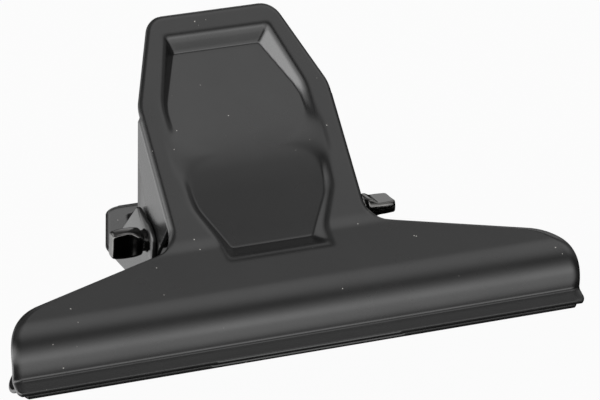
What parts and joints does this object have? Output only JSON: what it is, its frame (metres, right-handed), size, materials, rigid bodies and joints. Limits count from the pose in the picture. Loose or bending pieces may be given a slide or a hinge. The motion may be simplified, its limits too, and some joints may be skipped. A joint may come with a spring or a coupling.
{
  "type": "bulldog clip",
  "caption": "Wide sprung paper clip: two pressed steel plates with long rounded jaws and dished handles, hinged on a swaged pin.",
  "frame": {"origin": "midway between the two lips, on the plane that their cut edges stand on, half way along the jaws", "axes": "+X along the jaws and the hinge pin, +Y from the front plate to the rear plate, +Z from the lips up to the handles"},
  "size_m": [0.125, 0.0578, 0.0722],
  "materials": {
    "black_paint": "satin black enamel with a slight orange-peel texture",
    "plated_pin": "darkened steel with worn bright edges",
    "spring_wire": "drawn spring steel, slightly oiled"
  },
  "bodies": {
    "front": {"front_plate": "black_paint", "axle": "plated_pin", "torsion_spring": "spring_wire"},
    "rear": {"rear_plate": "black_paint"}
  },
  "joints": [
    {"name": "jaw_hinge", "type": "hinge", "parent": "front", "child": "rear", "pos_m": [0, 0, 0.0363], "axis": [1, 0, 0], "range_deg": [0, 70], "stiffness_Nm_per_rad": 1, "springref_deg": -45.84, "deforming": ["torsion_spring"]}
  ]
}
